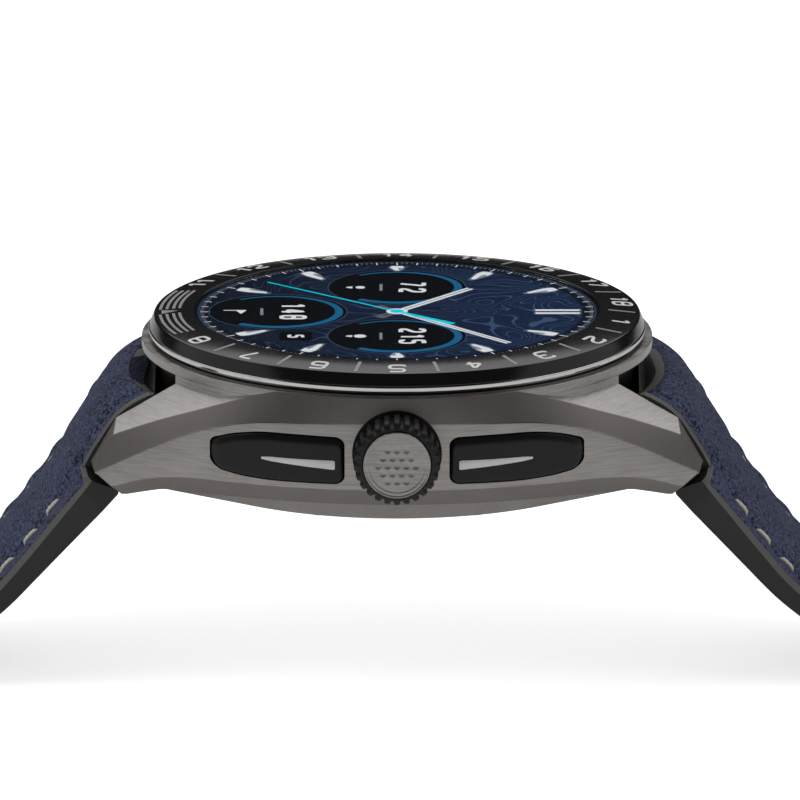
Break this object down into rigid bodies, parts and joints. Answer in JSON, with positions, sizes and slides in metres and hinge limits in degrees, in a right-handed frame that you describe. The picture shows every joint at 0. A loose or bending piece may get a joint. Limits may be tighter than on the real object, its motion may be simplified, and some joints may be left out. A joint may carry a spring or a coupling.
{
  "type": "golf gps watch",
  "caption": "Round wrist watch for golf with a numbered bezel, turning crown, pushers, sewn leather-on-rubber strap and a pin buckle, standing open on its strap.",
  "frame": {"origin": "middle of the caseback's flat underside", "axes": "+X out of the case through the crown, +Y towards 12 o'clock and the buckle half of the strap, +Z out of the dial"},
  "size_m": [0.0494, 0.2419, 0.0319],
  "materials": {
    "brushed_titanium": "dark brushed titanium, faceted with darker bevels",
    "black_ceramic": "glossy black ceramic with light numerals",
    "polished_steel": "mirror polished",
    "seal_rubber": "matte black",
    "crystal": "clear polished crystal",
    "display": "lit screen: dark blue dial with white and blue marks",
    "dark_metal": "fine blasted dark grey",
    "copper_foil": "thin bare foil",
    "circuit_board": "green solder mask",
    "chip_plastic": "moulded black",
    "tinned_steel": "bright drawn steel",
    "battery_foil": "crinkled silver foil",
    "sensor_glass": "dark tinted, polished",
    "gold_contacts": "gold plated",
    "spring_steel": "drawn spring steel",
    "knob_rubber": "satin black, toothed",
    "pusher_black": "glossy black",
    "bright_inlay": "polished strip",
    "strap_rubber": "matte black moulded rubber",
    "strap_leather": "navy napped leather, padded",
    "thread": "light grey twisted thread"
  },
  "bodies": {
    "case": {"mid_case": "brushed_titanium", "bezel_ring": "black_ceramic", "trim_ring": "polished_steel", "bezel_gasket": "seal_rubber", "cover_glass": "crystal", "display_panel": "display", "display_chassis": "dark_metal", "gps_antenna": "copper_foil", "main_board": "circuit_board", "board_chips": "chip_plastic", "shield_can": "tinned_steel", "battery": "battery_foil", "vibration_motor": "tinned_steel", "inner_frame": "chip_plastic", "sensor_board": "circuit_board", "caseback": "dark_metal", "caseback_gasket": "seal_rubber", "sensor_window": "sensor_glass", "charging_contacts": "gold_contacts", "caseback_screws": "tinned_steel", "crown_tube": "tinned_steel", "crown_encoder": "chip_plastic", "crown_spring": "spring_steel", "pusher_switches": "chip_plastic", "pusher_12_spring": "spring_steel", "pusher_6_spring": "spring_steel"},
    "crown_slider": {"crown_sleeve": "tinned_steel"},
    "crown": {"crown_knob": "knob_rubber", "crown_cap": "brushed_titanium", "crown_stem": "tinned_steel", "crown_seal": "seal_rubber"},
    "pusher_12": {"pusher_12_cap": "pusher_black", "pusher_12_inlay": "bright_inlay", "pusher_12_stem": "tinned_steel"},
    "pusher_6": {"pusher_6_cap": "pusher_black", "pusher_6_inlay": "bright_inlay", "pusher_6_stem": "tinned_steel"},
    "strap_12": {"strap_12_rubber": "strap_rubber", "strap_12_leather": "strap_leather", "strap_12_stitches": "thread", "strap_12_bar": "spring_steel", "keeper_fixed": "strap_rubber"},
    "release_12": {"release_pin_12": "spring_steel"},
    "sliding_keeper": {"keeper_sliding": "strap_rubber"},
    "buckle": {"buckle_frame": "brushed_titanium", "buckle_bar": "spring_steel"},
    "tongue": {"buckle_tongue": "brushed_titanium"},
    "strap_6": {"strap_6_rubber": "strap_rubber", "strap_6_leather": "strap_leather", "strap_6_stitches": "thread", "strap_6_bar": "spring_steel"},
    "release_6": {"release_pin_6": "spring_steel"}
  },
  "joints": [
    {"name": "crown_press", "type": "slide", "parent": "case", "child": "crown_slider", "axis": [-1, 0, 0], "range_m": [0, 0.0005], "stiffness_N_per_m": 400, "springref_m": -0.002, "deforming": ["crown_spring"]},
    {"name": "crown_turn", "type": "hinge", "parent": "crown_slider", "child": "crown", "pos_m": [0.0247, 0, 0.0064], "axis": [1, 0, 0], "continuous": true},
    {"name": "pusher_12_press", "type": "slide", "parent": "case", "child": "pusher_12", "axis": [-1, 0, 0], "range_m": [0, 0.0008], "stiffness_N_per_m": 300, "springref_m": -0.002, "deforming": ["pusher_12_spring"]},
    {"name": "pusher_6_press", "type": "slide", "parent": "case", "child": "pusher_6", "axis": [-1, 0, 0], "range_m": [0, 0.0008], "stiffness_N_per_m": 300, "springref_m": -0.002, "deforming": ["pusher_6_spring"]},
    {"name": "strap_12_hinge", "type": "hinge", "parent": "case", "child": "strap_12", "pos_m": [0, 0.0242, 0.0036], "axis": [-1, 0, 0], "range_deg": [0, 20]},
    {"name": "strap_6_hinge", "type": "hinge", "parent": "case", "child": "strap_6", "pos_m": [0, -0.0242, 0.0036], "axis": [1, 0, 0], "range_deg": [0, 20]},
    {"name": "release_12_slide", "type": "slide", "parent": "strap_12", "child": "release_12", "axis": [1, 0, 0], "range_m": [0, 0.00135], "stiffness_N_per_m": 200, "springref_m": -0.002},
    {"name": "release_6_slide", "type": "slide", "parent": "strap_6", "child": "release_6", "axis": [1, 0, 0], "range_m": [0, 0.00135], "stiffness_N_per_m": 200, "springref_m": -0.002},
    {"name": "keeper_slide", "type": "slide", "parent": "strap_12", "child": "sliding_keeper", "axis": [0, 1, 0], "range_m": [-0.012, 0.0085]},
    {"name": "buckle_hinge", "type": "hinge", "parent": "strap_12", "child": "buckle", "pos_m": [0, 0.09555, -0.01525], "axis": [1, 0, 0], "range_deg": [-60, 45]},
    {"name": "tongue_hinge", "type": "hinge", "parent": "buckle", "child": "tongue", "pos_m": [0, 0.09555, -0.01525], "axis": [1, 0, 0], "range_deg": [0, 105]}
  ]
}
